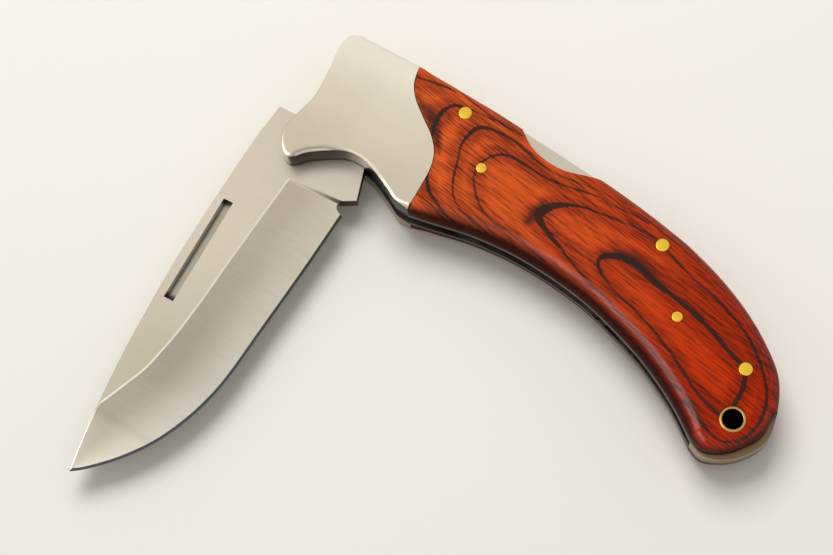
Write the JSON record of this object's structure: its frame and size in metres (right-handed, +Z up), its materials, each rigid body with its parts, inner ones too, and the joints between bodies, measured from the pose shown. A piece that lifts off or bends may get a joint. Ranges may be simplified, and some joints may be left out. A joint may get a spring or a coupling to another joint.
{
  "type": "folding pocket knife",
  "caption": "Lock-back folding pocket knife, half open, with curved laminated wood scales, metal bolsters, brass pins and a lined lanyard hole.",
  "frame": {"origin": "on the blade pivot's axis, at the outer face of the lower bolster, on which the knife lies", "axes": "+X along the handle from the blade pivot to the butt, +Y towards the spine and lock bar, +Z up through the thickness"},
  "size_m": [0.1125, 0.0999, 0.0126],
  "materials": {
    "blade_steel": "satin, brushed across the ground bevel",
    "spring_steel": "satin",
    "liner_steel": "satin",
    "nickel_silver": "fine satin with polished edges",
    "brass": "polished",
    "laminated_wood": "glossy lacquer over red and black laminate"
  },
  "bodies": {
    "handle": {"bolster_upper": "nickel_silver", "bolster_lower": "nickel_silver", "liner_upper": "liner_steel", "liner_lower": "liner_steel", "scale_upper": "laminated_wood", "scale_lower": "laminated_wood", "back_spring": "spring_steel", "pivot_pin": "nickel_silver", "rocker_pin": "brass", "spring_pin_front": "brass", "spring_pin_rear": "brass", "scale_pin_upper_front": "brass", "scale_pin_lower_front": "brass", "scale_pin_upper_rear": "brass", "scale_pin_lower_rear": "brass", "bolster_rivet_upper_front": "nickel_silver", "bolster_rivet_lower_front": "nickel_silver", "bolster_rivet_upper_rear": "nickel_silver", "bolster_rivet_lower_rear": "nickel_silver", "lanyard_tube": "brass"},
    "blade_body": {"blade": "blade_steel"},
    "lock_body": {"lock_bar": "spring_steel"}
  },
  "joints": [
    {"name": "blade_pivot", "type": "hinge", "parent": "handle", "child": "blade_body", "pos_m": [0, 0, 0.0063], "axis": [0, 0, 1], "range_deg": [-90, 81]},
    {"name": "lock_rocker", "type": "hinge", "parent": "handle", "child": "lock_body", "pos_m": [0.0203, 0.0089, 0.0063], "axis": [0, 0, 1], "range_deg": [-1.2, 1.9], "stiffness_Nm_per_rad": 2}
  ]
}
